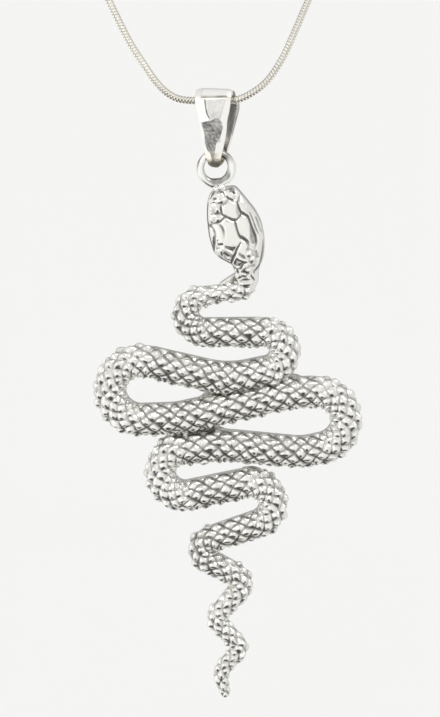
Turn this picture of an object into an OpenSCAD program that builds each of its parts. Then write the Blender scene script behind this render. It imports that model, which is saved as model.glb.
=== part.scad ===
// Snake pendant on a whole loop of snake chain, hanging as it is worn. Millimetres.
// Origin where the loop lies on the nape, +Z up, the pendant's face towards -Y.

/* [Snake] */
// Width of the body at its widest runs
body_w = 3.9; // [3.5:0.05:4.0]
// Front to back depth of the body and head
snake_depth = 3.5; // [2.8:0.1:4.2]
// Width of the head across the jaws
head_w = 6.9; // [5.5:0.1:7.2]
// Length of the head from snout to nape
head_length = 11.0; // [10.4:0.1:11.4]

/* [Ring] */
// Outer diameter of the ring soldered to the snout
ring_d = 5.0; // [4.8:0.1:5.4]
// Diameter of the ring's wire
ring_wire_d = 0.9; // [0.8:0.05:0.95]

/* [Bail] */
// Width of the strap at the fold over the chain
bail_top_w = 4.7; // [4.2:0.1:5.2]
// Width of the strap where it passes through the ring
bail_foot_w = 1.7; // [1.5:0.1:1.8]
// Thickness of the strap
bail_wall = 0.45; // [0.35:0.05:0.5]
// Thickness of the strap at the fold over the chain
bail_fold_wall = 0.75; // [0.6:0.05:0.9]
// Turn of the bail away from the front, as it hangs on the chain
bail_yaw = 16; // [0:1:18]
// Lean of the bail to one side, as it hangs on the chain
bail_lean = 1; // [-4:0.5:4]

/* [Chain] */
// Diameter of the snake chain
chain_d = 1.0; // [0.8:0.05:1.1]
// How far the pendant hangs in front of the nape
reach = 106; // [98:1:114]
// How far the chain's lowest point lies under the nape
drop = 126; // [118:1:134]

/* [Clasp] */
// Length of the clasp over its end caps
clasp_length = 12; // [10:0.5:14]
// Diameter of the clasp's barrel
clasp_d = 2.8; // [2.4:0.1:3.4]

/* [Hidden] */

fit_gap = 0.1;
ring_wire_r = ring_wire_d / 2;
ring_mid_r = (ring_d - ring_wire_d) / 2;
chain_r = chain_d / 2;

// Heights over the ring's centre: where the foot and the fold of the bail lie
bail_outer_r = 1.45;
bail_inner_r = bail_outer_r - bail_wall;
bail_foot_seat = 0.85;
bail_foot_low = 0.15;
bail_foot_trim = 0.1;
bail_fold_z = 8.8;
bail_fold_inner_z = bail_fold_z - (bail_fold_wall - bail_wall);
chain_z = bail_fold_inner_z + bail_inner_r - chain_r - fit_gap;

// The ring turns in the bail about a line a little under the middle of its wire,
// because the wire curves down to where it rests on the strap's two edges
ring_turn_drop = 0.4;
ring_turn_z = ring_mid_r - ring_turn_drop;

// The lowest point of the chain, inside the bail, and the ring's centre under it
hang = [0, -reach, -drop];
bail_reach = chain_z - ring_turn_z;
ring_centre = hang + [sin(bail_lean) * bail_reach, 0, -ring_turn_z - cos(bail_lean) * bail_reach];

// One row for each fold of the snake, seen from the front: the centre of the fold
// from the ring's centre, its radius on the body's middle line, its turn
// (1 anticlockwise, -1 clockwise) and the width there as a share of body_w
FOLDS = [
  // x, z, radius, turn, width
  [0.7, -2.4, 0, 1, 0.66],
  [2.2, -14.1, 1.75, -1, 0.68],
  [0.4, -18.0, 1.8, 1, 0.53],
  [-1.4, -18.9, 2.35, 1, 0.86],
  [6.0, -23.9, 2.6, -1, 0.96],
  [1.5, -15.6, 11.7, -1, 1.0],
  [-9.6, -29.0, 3.9, 1, 1.0],
  [-6.6, -21.1, 11.7, 1, 1.0],
  [10.8, -37.1, 7.8, -1, 0.98],
  [12.8, -33.0, 3.8, -1, 0.97],
  [10.6, -29.0, 8.2, -1, 0.98],
  [1.1, -52.0, 15.6, 1, 1.0],
  [-4.0, -40.0, 3.1, 1, 0.96],
  [4.3, -44.3, 2.9, -1, 0.93],
  [-0.2, -50.6, 1.65, 1, 0.8],
  [1.4, -55.3, 1.7, -1, 0.74],
  [1.5, -59.9, 1.3, 1, 0.62],
  [1.7, -64.1, 1.15, -1, 0.55],
  [3.9, -68.2, 3.2, 1, 0.5],
  [1.3, -71.0, 0, 1, 0.28],
];
FOLD_X = 0;
FOLD_Z = 1;
FOLD_R = 2;
FOLD_TURN = 3;
FOLD_W = 4;

// One row for each section of the head: its distance from the snout as a share of
// head_length, its reach to either side as shares of half of head_w, and its front
// and back heights as shares of those of the widest body
HEAD = [
  // along, left, right, front, back
  [0.0, 0.32, 0.32, 0.30, 0.45],
  [0.04, 0.46, 0.48, 0.52, 0.70],
  [0.12, 0.64, 0.61, 0.72, 0.90],
  [0.25, 0.80, 0.78, 0.88, 1.0],
  [0.40, 0.90, 0.96, 0.97, 1.0],
  [0.55, 0.96, 1.03, 1.0, 1.0],
  [0.68, 0.96, 1.0, 1.0, 1.0],
  [0.78, 0.84, 0.94, 0.97, 1.0],
  [0.86, 0.61, 0.85, 0.93, 0.97],
  [0.93, 0.43, 0.75, 0.88, 0.92],
  [1.0, 0.41, 0.59, 0.82, 0.87],
];
HEAD_ALONG = 0;
HEAD_LEFT = 1;
HEAD_RIGHT = 2;
HEAD_FRONT = 3;
HEAD_BACK = 4;

// Shares of the body's width that its section is drawn with
front_share = 0.46;
wall_front_share = 0.06;
wall_back_share = 0.3;
back_share = 0.42;
bevel_share = 0.14;
dome_steps = 10;
fold_step = 17;

// A section across the body: a dome in front, straight side walls and a flat back,
// as [across, depth] pairs. Half widths are given to either side.
function section(left, right, front, wall_front, wall_back, back, bevel) = concat(
  [for (i = [0:dome_steps]) let (a = 180 * i / dome_steps, half = a < 90 ? left : right)
    [-half * cos(a), -wall_front - (front - wall_front) * sin(a)]],
  [[right, wall_back], [right - bevel, back], [bevel - left, back], [-left, wall_back]]
);
function body_section(w) = section(
  w / 2, w / 2, w * front_share, w * wall_front_share, w * wall_back_share, w * back_share,
  w * bevel_share
);
function head_section(row) = section(
  head_w / 2 * row[HEAD_LEFT], head_w / 2 * row[HEAD_RIGHT],
  body_w * front_share * row[HEAD_FRONT], body_w * wall_front_share * row[HEAD_FRONT],
  body_w * wall_back_share * row[HEAD_BACK], body_w * back_share * row[HEAD_BACK],
  body_w * bevel_share
);

// The straight run from fold i to the next one: its heading, and where it leaves a fold
function fold_centre(i) = [FOLDS[i][FOLD_X], FOLDS[i][FOLD_Z]];
function signed_r(i) = FOLDS[i][FOLD_TURN] * FOLDS[i][FOLD_R];
function heading(i) =
  let (d = fold_centre(i + 1) - fold_centre(i))
  atan2(d[1], d[0]) - asin((signed_r(i + 1) - signed_r(i)) / norm(d));
function on_fold(i, a) = fold_centre(i) - signed_r(i) * [-sin(a), cos(a)];
function sweep_of(i) =
  let (turn = FOLDS[i][FOLD_TURN], d = turn * (heading(i) - heading(i - 1)))
  turn * (d - 360 * floor(d / 360));
function steps_of(i) = max(1, ceil(abs(sweep_of(i)) / fold_step));

// Stations along the snake from snout to tail tip: [x, z, heading, section]. The body's
// width changes evenly along it from the middle of one fold to the middle of the next.
last_fold = len(FOLDS) - 1;
head_dir = [cos(heading(0)), sin(heading(0))];
HEAD_STATIONS = [for (row = HEAD)
  concat(fold_centre(0) + head_dir * row[HEAD_ALONG] * head_length, [heading(0), head_section(row)])
];
BODY_LINE = concat(
  [for (i = [1:last_fold - 1], j = [0:steps_of(i)])
    let (a = heading(i - 1) + sweep_of(i) * j / steps_of(i), p = on_fold(i, a))
    [p[0], p[1], a]],
  [concat(fold_centre(last_fold), [heading(last_fold - 1)])]
);
function sum(v, i = 0) = i >= len(v) ? 0 : v[i] + sum(v, i + 1);
function gap_before(i) = i == 0 ? 0
  : norm([BODY_LINE[i][0] - BODY_LINE[i - 1][0], BODY_LINE[i][1] - BODY_LINE[i - 1][1]]);
ALONG = [for (i = 0, s = 0; i < len(BODY_LINE); i = i + 1, s = s + (i < len(BODY_LINE) ? gap_before(i) : 0)) s];
function fold_start(i) = i < 2 ? 0 : sum([for (k = [1:i - 1]) steps_of(k) + 1]);
function fold_middle(i) = i == last_fold ? ALONG[len(ALONG) - 1]
  : (ALONG[fold_start(i)] + ALONG[fold_start(i) + steps_of(i)]) / 2;
WIDTHS = [for (i = [1:last_fold]) [fold_middle(i), body_w * FOLDS[i][FOLD_W]]];
BODY_STATIONS = [for (i = [0:len(BODY_LINE) - 1])
  concat(BODY_LINE[i], [body_section(lookup(ALONG[i], WIDTHS))])
];
STATIONS = concat(HEAD_STATIONS, BODY_STATIONS);

// A run of stations swept into one closed solid
function station_points(s) = [for (p = s[3]) [s[0] - p[0] * sin(s[2]), p[1], s[1] + p[0] * cos(s[2])]];
function side_faces(rings, n) = [for (k = [0:rings - 2], i = [0:n - 1], half = [0, 1])
  let (a = k * n + i, b = k * n + (i + 1) % n)
  half == 0 ? [a, b, b + n] : [a, b + n, a + n]
];
function end_faces(rings, n) = [
  [for (i = [0:n - 1]) n - 1 - i],
  [for (i = [0:n - 1]) (rings - 1) * n + i]
];
module swept(rings) {
  n = len(rings[0]);
  polyhedron([for (r = rings, p = r) p], concat(side_faces(len(rings), n), end_faces(len(rings), n)));
}
module snake_run(first, last) {
  swept([for (k = [first:last]) station_points(STATIONS[k])]);
}

// The snake is swept in three runs that meet at the far ends of its two wide folds,
// because neighbouring runs of the cast body touch along their sides
left_fold = 6;
right_fold = 9;
left_end = len(HEAD) + fold_start(left_fold) + floor(steps_of(left_fold) / 2);
right_end = len(HEAD) + fold_start(right_fold) + floor(steps_of(right_fold) / 2);

// The corner between the neck and the first run is filled by a low web of metal,
// seen from the front as [x, z] corners
NECK_WEB = [[2.9, -13.2], [2.15, -13.75], [0.45, -14.95], [0.8, -15.8], [2.8, -15.6], [3.4, -14.2]];
web_front_y = -0.25;
web_back_y = 0.75;
module neck_web() {
  rotate([90, 0, 0])
    translate([0, 0, -web_back_y])
      linear_extrude(web_back_y - web_front_y)
        polygon(NECK_WEB);
}

module snake_body() {
  resize([0, snake_depth, 0]) {
    neck_web();
    snake_run(0, left_end);
    snake_run(left_end, right_end);
    snake_run(right_end, len(STATIONS) - 1);
  }
}

module ring() {
  rotate([90, 0, 0])
    rotate_extrude($fn = 64)
      translate([ring_mid_r, 0])
        circle(r = ring_wire_r, $fn = 32);
}

module snake() {
  color("silver")
    translate(ring_centre) {
      snake_body();
      ring();
    }
}

// The outline of a strap with straight sides and two round ends, one over the other
module strap_outline(low_z, high_z, r) {
  translate([-r, low_z]) square([2 * r, high_z - low_z]);
  translate([0, low_z]) circle(r = r, $fn = 48);
  translate([0, high_z]) circle(r = r, $fn = 48);
}

module bail_strap() {
  rotate([90, 0, 90])
    linear_extrude(bail_top_w + 1, center = true)
      difference() {
        strap_outline(bail_foot_low + bail_outer_r, bail_fold_z, bail_outer_r);
        strap_outline(bail_foot_seat + bail_inner_r, bail_fold_inner_z, bail_inner_r);
      }
}

module bail_front() {
  foot_z = bail_foot_low + bail_foot_w / 2 - bail_foot_trim;
  shoulder_z = 7.6;
  top_z = bail_fold_z + 2 * bail_outer_r;
  rotate([90, 0, 0])
    linear_extrude(4 * bail_outer_r, center = true) {
      polygon([
        [-bail_foot_w / 2, foot_z], [bail_foot_w / 2, foot_z],
        [bail_top_w / 2, shoulder_z], [bail_top_w / 2, top_z],
        [-bail_top_w / 2, top_z], [-bail_top_w / 2, shoulder_z]
      ]);
      translate([0, foot_z]) circle(d = bail_foot_w, $fn = 48);
    }
}

module bail() {
  color("gainsboro")
    translate(ring_centre + [0, 0, ring_turn_z])
      rotate([0, -bail_lean, 0])
        rotate([0, 0, -bail_yaw])
          translate([0, 0, -ring_turn_z])
            intersection() {
              bail_strap();
              bail_front();
            }
}

// The chain's route, by hand, from its lowest point inside the bail: x across, y back
// towards the neck and z up. The points of IN_BAIL lie along the bail's fold, and the one
// on the left hangs a little lower. The sides are laid out for a loop of route_reach and
// route_drop, and follow reach and drop.
route_reach = 106;
route_drop = 126;
follow = [1, reach / route_reach, drop / route_drop];
along_bail = [cos(bail_yaw) * cos(bail_lean), -sin(bail_yaw), cos(bail_yaw) * sin(bail_lean)];
IN_BAIL = [
  // along, sunk
  [-3, 0.3],
  [-1.2, 0.03],
  [1.2, 0],
  [2.8, 0],
];
LEFT_ROUTE = [
  [-5.1, 1.4, -0.05], [-7.1, 2.1, 1.4], [-9.25, 3.1, 4.25], [-10.9, 4.2, 6.7], [-13.6, 6.7, 11.7],
  [-17.5, 10.5, 19], [-27, 20, 36], [-40, 32, 59], [-50, 44, 81], [-56, 56, 99], [-58, 68, 110],
  [-54, 82, 118.5], [-42, 95, 123.5], [-25, 103.5, 125.5]
];
RIGHT_ROUTE = [
  [4.7, -1.1, 1.05], [6.5, -0.8, 2.45], [8.35, 0.2, 5.0], [9.65, 1.6, 7.5], [11.9, 4.8, 12.1],
  [15.8, 9.6, 19.5], [26, 20, 37], [39.5, 32, 60], [50, 44, 81], [56, 56, 99], [58, 68, 110],
  [54, 82, 118.5], [42, 95, 123.5], [25, 103.5, 125.5]
];
socket_depth = 2;
chain_end_x = clasp_length / 2 - socket_depth + fit_gap;
CLASP_SIDE = [[-chain_end_x, reach, drop], [chain_end_x, reach, drop]];
nape_x = 9;
function backwards(v) = [for (i = [len(v) - 1:-1:0]) v[i]];
function followed(v) = [for (p = v) [for (k = [0:2]) p[k] * follow[k]]];
ROUTE = concat(
  [CLASP_SIDE[0], [-nape_x, reach, drop]], followed(backwards(LEFT_ROUTE)),
  [for (p = IN_BAIL) p[0] * along_bail - [0, 0, p[1]]],
  followed(RIGHT_ROUTE), [[nape_x, reach, drop], CLASP_SIDE[1]]
);

// A smooth line through the route's points: each span is a cubic whose ends head
// along the line between their neighbours
function route_tangent(i) =
  let (a = ROUTE[max(i - 1, 0)], b = ROUTE[min(i + 1, len(ROUTE) - 1)])
  (b - a) / norm(b - a);
function span_point(i, t) =
  let (p = ROUTE[i], q = ROUTE[i + 1], l = norm(q - p))
  (2 * t ^ 3 - 3 * t ^ 2 + 1) * p + (t ^ 3 - 2 * t ^ 2 + t) * l * route_tangent(i)
  + (3 * t ^ 2 - 2 * t ^ 3) * q + (t ^ 3 - t ^ 2) * l * route_tangent(i + 1);
span_steps = 2;
CHAIN_LINE = concat(
  [for (i = [0:len(ROUTE) - 2], j = [0:span_steps - 1]) hang + span_point(i, j / span_steps)],
  [hang + CLASP_SIDE[1]]
);
chain_sides = 8;
function chain_ring(i) =
  let (
    a = CHAIN_LINE[max(i - 1, 0)],
    b = CHAIN_LINE[min(i + 1, len(CHAIN_LINE) - 1)],
    along = (b - a) / norm(b - a),
    side = cross(along, [0, 0.3, 1]),
    across = side / norm(side),
    up = cross(across, along)
  )
  [for (k = [0:chain_sides - 1]) let (t = 360 * (k + 0.5) / chain_sides)
    CHAIN_LINE[i] + chain_r * (cos(t) * across + sin(t) * up)];

module chain() {
  color("lightgoldenrodyellow")
    swept([for (i = [0:len(CHAIN_LINE) - 1]) chain_ring(i)]);
}

// A plain barrel with a cap at each end that the chain's ends run into
module clasp() {
  cap_length = 3;
  cap_r = chain_r + 0.5;
  socket_r = chain_r + fit_gap;
  half = clasp_length / 2;
  color("gainsboro")
    rotate([90, 0, 90])
      rotate_extrude($fn = 48)
        polygon([
          [0, -half + socket_depth], [socket_r, -half + socket_depth], [socket_r, -half],
          [cap_r, -half], [cap_r, -half + cap_length], [clasp_d / 2, -half + cap_length],
          [clasp_d / 2, half - cap_length], [cap_r, half - cap_length], [cap_r, half],
          [socket_r, half], [socket_r, half - socket_depth], [0, half - socket_depth]
        ]);
}

snake();
bail();
chain();
clasp();
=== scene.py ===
"""Looks of the snake pendant on its loop of snake chain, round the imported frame.

Sizes are the CAD's, in millimetres, and turn into metres where a mesh is made.
"""
import math

import bpy
import numpy as np
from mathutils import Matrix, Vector

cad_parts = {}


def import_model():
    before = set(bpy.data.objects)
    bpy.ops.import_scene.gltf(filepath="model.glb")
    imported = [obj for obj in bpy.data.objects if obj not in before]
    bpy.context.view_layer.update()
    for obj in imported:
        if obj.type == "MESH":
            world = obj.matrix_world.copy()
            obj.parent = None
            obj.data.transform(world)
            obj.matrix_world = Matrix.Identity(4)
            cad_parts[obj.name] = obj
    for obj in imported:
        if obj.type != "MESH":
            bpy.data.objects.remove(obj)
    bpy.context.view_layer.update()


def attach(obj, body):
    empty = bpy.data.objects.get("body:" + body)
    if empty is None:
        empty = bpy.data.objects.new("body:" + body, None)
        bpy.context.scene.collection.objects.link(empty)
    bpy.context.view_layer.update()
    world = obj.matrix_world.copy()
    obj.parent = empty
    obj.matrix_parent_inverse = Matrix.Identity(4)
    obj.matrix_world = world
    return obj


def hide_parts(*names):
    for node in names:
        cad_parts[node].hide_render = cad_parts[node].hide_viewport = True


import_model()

MM = 0.001
RNG = np.random.default_rng(7)

# Sizes from the CAD
body_w = 3.9
snake_depth = 3.5
head_w = 6.9
head_length = 11.0
ring_d = 5.0
ring_wire_d = 0.9
bail_top_w = 4.7
bail_foot_w = 1.7
bail_wall = 0.45
bail_fold_wall = 0.75
bail_yaw = math.radians(16)
bail_lean = math.radians(1)
chain_d = 1.0
reach = 106.0
drop = 126.0
clasp_length = 12.0
clasp_d = 2.8

fit_gap = 0.1
ring_wire_r = ring_wire_d / 2
ring_mid_r = (ring_d - ring_wire_d) / 2
chain_r = chain_d / 2
bail_outer_r = 1.45
bail_inner_r = bail_outer_r - bail_wall
bail_foot_seat = 0.85
bail_foot_low = 0.15
bail_fold_z = 8.8
bail_fold_inner_z = bail_fold_z - (bail_fold_wall - bail_wall)
chain_z = bail_fold_inner_z + bail_inner_r - chain_r - fit_gap
ring_turn_drop = 0.4
ring_turn_z = ring_mid_r - ring_turn_drop
hang = np.array([0.0, -reach, -drop])
bail_reach = chain_z - ring_turn_z
ring_centre = hang + np.array([
    math.sin(bail_lean) * bail_reach, 0.0, -ring_turn_z - math.cos(bail_lean) * bail_reach])

# One row for each fold of the snake: x, z, radius, turn, width, from the ring's centre
FOLDS = np.array([
    [0.7, -2.4, 0, 1, 0.66],
    [2.2, -14.1, 1.75, -1, 0.68],
    [0.4, -18.0, 1.8, 1, 0.53],
    [-1.4, -18.9, 2.35, 1, 0.86],
    [6.0, -23.9, 2.6, -1, 0.96],
    [1.5, -15.6, 11.7, -1, 1.0],
    [-9.6, -29.0, 3.9, 1, 1.0],
    [-6.6, -21.1, 11.7, 1, 1.0],
    [10.8, -37.1, 7.8, -1, 0.98],
    [12.8, -33.0, 3.8, -1, 0.97],
    [10.6, -29.0, 8.2, -1, 0.98],
    [1.1, -52.0, 15.6, 1, 1.0],
    [-4.0, -40.0, 3.1, 1, 0.96],
    [4.3, -44.3, 2.9, -1, 0.93],
    [-0.2, -50.6, 1.65, 1, 0.8],
    [1.4, -55.3, 1.7, -1, 0.74],
    [1.5, -59.9, 1.3, 1, 0.62],
    [1.7, -64.1, 1.15, -1, 0.55],
    [3.9, -68.2, 3.2, 1, 0.5],
    [1.3, -71.0, 0, 1, 0.28],
])

# One row for each section of the head: along, left, right, front, back
HEAD = np.array([
    [0.0, 0.32, 0.32, 0.30, 0.45],
    [0.04, 0.46, 0.48, 0.52, 0.70],
    [0.12, 0.64, 0.61, 0.72, 0.90],
    [0.25, 0.80, 0.78, 0.88, 1.0],
    [0.40, 0.90, 0.96, 0.97, 1.0],
    [0.55, 0.96, 1.03, 1.0, 1.0],
    [0.68, 0.96, 1.0, 1.0, 1.0],
    [0.78, 0.84, 0.94, 0.97, 1.0],
    [0.86, 0.61, 0.85, 0.93, 0.97],
    [0.93, 0.43, 0.75, 0.88, 0.92],
    [1.0, 0.41, 0.59, 0.82, 0.87],
])

front_share = 0.46
wall_front_share = 0.06
wall_back_share = 0.3
back_share = 0.42
bevel_share = 0.14
depth_scale = snake_depth / (body_w * (front_share + back_share))

# Sizes in the photo and facts of the camera
px_per_mm = 7.8
frame_height_px = 717
photo_centre = (220.0, 358.5)
camera_distance = 450.0
camera_elevation = math.radians(15)
# the point in the frame that the middle of the photo shows
target = ring_centre + np.array([0.4676, 0.0, -24.858])


# Helpers
def smoothstep(low, high, value):
    t = np.clip((value - low) / (high - low), 0, 1)
    return t * t * (3 - 2 * t)


def bell(distance, width):
    """1 in the middle, falling off smoothly to either side."""
    return np.exp(-((distance / width) ** 2))


def turns(count):
    """Angles all the way round, each once."""
    return np.linspace(0, 2 * math.pi, count, endpoint=False)


def averaged(values, neighbours):
    """Each value's mean with so many neighbours on either side."""
    count = 2 * neighbours + 1
    return np.convolve(np.pad(values, neighbours, mode="edge"), np.ones(count) / count, mode="valid")


def hermite(t, length, start, end, leaving, arriving):
    """The smooth curve from start to end, with its slopes there, at shares t of the way."""
    return ((2 * t**3 - 3 * t**2 + 1) * start + (t**3 - 2 * t**2 + t) * length * leaving
            + (3 * t**2 - 2 * t**3) * end + (t**3 - t**2) * length * arriving)


def smooth_table(x, xs, ys):
    """A smooth line through a table's points, level where the table turns back."""
    slopes = np.diff(ys) / np.diff(xs)
    tangents = np.zeros(len(xs))
    same = slopes[:-1] * slopes[1:] > 0
    tangents[1:-1][same] = 2 * slopes[:-1][same] * slopes[1:][same] / (slopes[:-1] + slopes[1:])[same]
    tangents[0], tangents[-1] = slopes[0], slopes[-1]
    i = np.clip(np.searchsorted(xs, x) - 1, 0, len(xs) - 2)
    h = xs[i + 1] - xs[i]
    t = np.clip((x - xs[i]) / h, 0, 1)
    return hermite(t, h, ys[i], ys[i + 1], tangents[i], tangents[i + 1])


def new_object(name, verts, faces, attributes=None, smooth=True):
    """A mesh object from points in millimetres, with one value a point for each attribute."""
    mesh = bpy.data.meshes.new(name)
    mesh.from_pydata([tuple(p) for p in np.asarray(verts) * MM], [], [tuple(f) for f in faces])
    mesh.update()
    for key, values in (attributes or {}).items():
        layer = mesh.attributes.new(key, "FLOAT", "POINT")
        layer.data.foreach_set("value", np.asarray(values, dtype=np.float32))
    if smooth:
        mesh.polygons.foreach_set("use_smooth", [True] * len(mesh.polygons))
    obj = bpy.data.objects.new(name, mesh)
    bpy.context.scene.collection.objects.link(obj)
    return obj


def skin_faces(rings, sides, closed_along=False):
    """Quads between neighbouring rings of points."""
    i, j = np.meshgrid(np.arange(rings if closed_along else rings - 1), np.arange(sides), indexing="ij")
    i2, j2 = (i + 1) % rings, (j + 1) % sides
    quads = np.stack([i * sides + j, i * sides + j2, i2 * sides + j2, i2 * sides + j], -1)
    return quads.reshape(-1, 4).tolist()


def capped_skin(rings):
    """A closed skin over rings of points, with a fan at either end."""
    n, m = rings.shape[:2]
    verts = np.concatenate([rings.reshape(-1, 3), [rings[0].mean(0)], [rings[-1].mean(0)]])
    faces = skin_faces(n, m)
    first, last = n * m, n * m + 1
    faces += [(first, (j + 1) % m, j) for j in range(m)]
    faces += [(last, (n - 1) * m + j, (n - 1) * m + (j + 1) % m) for j in range(m)]
    return verts, faces


def to_photo(points):
    """Where a point (mm, in the frame) is seen in the photo, in pixels."""
    up = np.array([0.0, math.sin(camera_elevation), math.cos(camera_elevation)])
    toward = np.array([0.0, math.cos(camera_elevation), -math.sin(camera_elevation)])
    d = points - target
    depth = camera_distance + d @ toward
    k = px_per_mm * camera_distance / depth
    return np.stack([photo_centre[0] + d[..., 0] * k, photo_centre[1] - (d @ up) * k], -1)


def distance_to_line(points, line):
    """Distance of points to a line through a few pixel positions, and the line's third value there."""
    best, value = np.full(len(points), 1e9), np.zeros(len(points))
    for a, b in zip(line[:-1], line[1:]):
        ab = b[:2] - a[:2]
        t = np.clip(((points - a[:2]) @ ab) / (ab @ ab), 0, 1)
        d = np.linalg.norm(points - (a[:2] + t[:, None] * ab), axis=1)
        if len(a) > 2:
            value = np.where(d < best, a[2] + t * (b[2] - a[2]), value)
        best = np.minimum(best, d)
    return best, value


def within(points, outline):
    """Which points lie inside a closed outline."""
    inside = np.zeros(len(points), bool)
    for (ax, ay), (bx, by) in zip(outline[:-1], outline[1:]):
        if ay != by:
            cross = (points[:, 1] < ay) != (points[:, 1] < by)
            inside ^= cross & (points[:, 0] < ax + (points[:, 1] - ay) / (by - ay) * (bx - ax))
    return inside


def rounded(line, times=2):
    """The line with its corners cut, so that a listed seam bends smoothly."""
    p = np.array(line, float)
    for _ in range(times):
        q = np.empty((2 * len(p), p.shape[1]))
        q[0], q[-1] = p[0], p[-1]
        q[1:-1:2] = p[:-1] * 0.75 + p[1:] * 0.25
        q[2:-1:2] = p[:-1] * 0.25 + p[1:] * 0.75
        p = q
    return p


def scatter(a, b, seed):
    """A repeatable value from 0 to 1 for each pair of whole numbers."""
    v = np.sin(a * 127.1 + b * 311.7 + seed * 74.7) * 43758.5453
    return v - np.floor(v)


# The snake's path
def heading(i):
    d = FOLDS[i + 1, :2] - FOLDS[i, :2]
    r = FOLDS[:, 2] * FOLDS[:, 3]
    return math.atan2(d[1], d[0]) - math.asin((r[i + 1] - r[i]) / np.linalg.norm(d))


def on_fold(i, a):
    r = FOLDS[i, 2] * FOLDS[i, 3]
    return FOLDS[i, :2] - r * np.array([-math.sin(a), math.cos(a)])


def path_segments():
    """Straights and arcs from snout to tail: start, length, start point, heading, curvature
    and, for an arc, its fold."""
    segments, s = [], 0.0
    for i in range(len(FOLDS) - 1):
        h = heading(i)
        start, end = on_fold(i, h), on_fold(i + 1, h)
        if i:
            turn = FOLDS[i, 3]
            before = heading(i - 1)
            sweep = (turn * (h - before)) % (2 * math.pi)
            segments.append((s, sweep * FOLDS[i, 2], on_fold(i, before), before, turn / FOLDS[i, 2], i))
            s += sweep * FOLDS[i, 2]
        length = np.linalg.norm(end - start)
        segments.append((s, length, start, h, 0.0, None))
        s += length
    return segments, s


SEGMENTS, SNAKE_LENGTH = path_segments()
WIDTH_AT = [(s + length / 2, body_w * FOLDS[i, 4]) for s, length, _, _, _, i in SEGMENTS if i is not None]
WIDTH_AT.append((SNAKE_LENGTH, body_w * FOLDS[-1, 4]))
WIDTH_S, WIDTH_W = np.array(WIDTH_AT).T


def along_path(s):
    """Points (x, z) and headings at lengths s from the snout."""
    points, angles = np.empty((len(s), 2)), np.empty(len(s))
    for start, length, p, h, bend, _ in SEGMENTS:
        pick = (s >= start - 1e-9) & (s <= start + length + 1e-9)
        d = s[pick] - start
        angles[pick] = h + bend * d
        if bend:
            points[pick] = p + np.stack([
                np.sin(h + bend * d) - math.sin(h), math.cos(h) - np.cos(h + bend * d)], -1) / bend
        else:
            points[pick] = p + d[:, None] * np.array([math.cos(h), math.sin(h)])
    return points, angles


def body_width(s):
    offsets = np.linspace(-1.2, 1.2, 9)
    return np.mean([np.interp(s + o, WIDTH_S, WIDTH_W) for o in offsets], axis=0)


def section_columns(front_columns, wall_columns, back_columns):
    """Where the columns of points lie round a section: the dome's angles and the shares of the rest."""
    dome = np.linspace(0, math.pi, front_columns)
    wall = np.linspace(0, 1, wall_columns + 1)[1:]
    back = np.linspace(0, 1, back_columns + 2)
    return dome, wall, back


def sections(left, right, front, wall_front, wall_back, back, bevel, columns):
    """Sections across the snake, one for each station: [across, depth] for each column."""
    left, right, front, wall_front, wall_back, back, bevel = [
        values[:, None] for values in (left, right, front, wall_front, wall_back, back, bevel)]
    dome, wall, flat = columns
    half = np.where(dome < math.pi / 2, left, right)
    wall_depth = -wall_front + wall * (wall_front + wall_back)
    across = [-half * np.cos(dome),
              np.repeat(right, len(wall), 1),
              right - bevel - flat * (left + right - 2 * bevel),
              np.repeat(-left, len(wall), 1)]
    depth = [-wall_front - (front - wall_front) * np.sin(dome),
             wall_depth,
             np.repeat(back, len(flat), 1),
             wall_depth[:, ::-1]]
    return np.stack([np.concatenate(across, 1), np.concatenate(depth, 1)], -1)


def place_sections(shape, points, angles):
    """Sections turned to the path and moved to the ring's place in the frame."""
    x = points[:, 0, None] - shape[..., 0] * np.sin(angles)[:, None]
    z = points[:, 1, None] + shape[..., 0] * np.cos(angles)[:, None]
    y = shape[..., 1] * depth_scale
    return np.stack([x, y, z], -1) + ring_centre


def section_normals(shape):
    """Outward directions in each section's plane."""
    d = np.roll(shape, -1, 1) - np.roll(shape, 1, 1)
    n = np.stack([d[..., 1], -d[..., 0]], -1)
    return n / np.maximum(np.linalg.norm(n, axis=-1, keepdims=True), 1e-9)


# The body and its scales
scale_length = 2.0
scale_width = 1.66
scale_height = 0.34
scale_roundness = 1.9
scale_tilt = 0.34
groove_width = 0.33
groove_dark = 0.72
wall_sink = 0.13
body_start = 11.9
body_step = 0.165
tail_tip = 0.62
# how many stations to either side a short bend is felt
bend_reach = 6
BODY_COLUMNS = section_columns(49, 9, 3)
dome_count, wall_count = len(BODY_COLUMNS[0]), len(BODY_COLUMNS[1])
RIGHT_WALL, LEFT_WALL = slice(dome_count, dome_count + wall_count), slice(-wall_count, None)
# How the rows of scales sway: along the body, across it and where the wave begins
scale_sway = 0.055
SCALE_SWAYS = [(2.3, 3.1, 0.4), (3.7, -2.2, 1.9), (2.9, 2.7, 2.6)]
# a distance that counts as out of reach, and how much of the body on either side of a
# point is its own run and not another one, both in mm
far = 9.0
own_run = 9.0


def body_stations():
    """Places along the body, closer together round the tip of the tail."""
    s = np.arange(body_start, SNAKE_LENGTH - 0.02, body_step)
    tip = SNAKE_LENGTH - tail_tip + tail_tip * np.sin(np.linspace(0, math.pi / 2, 9)[:-1])
    return np.concatenate([s[s < SNAKE_LENGTH - tail_tip], tip, [SNAKE_LENGTH - 0.004]])


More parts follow.
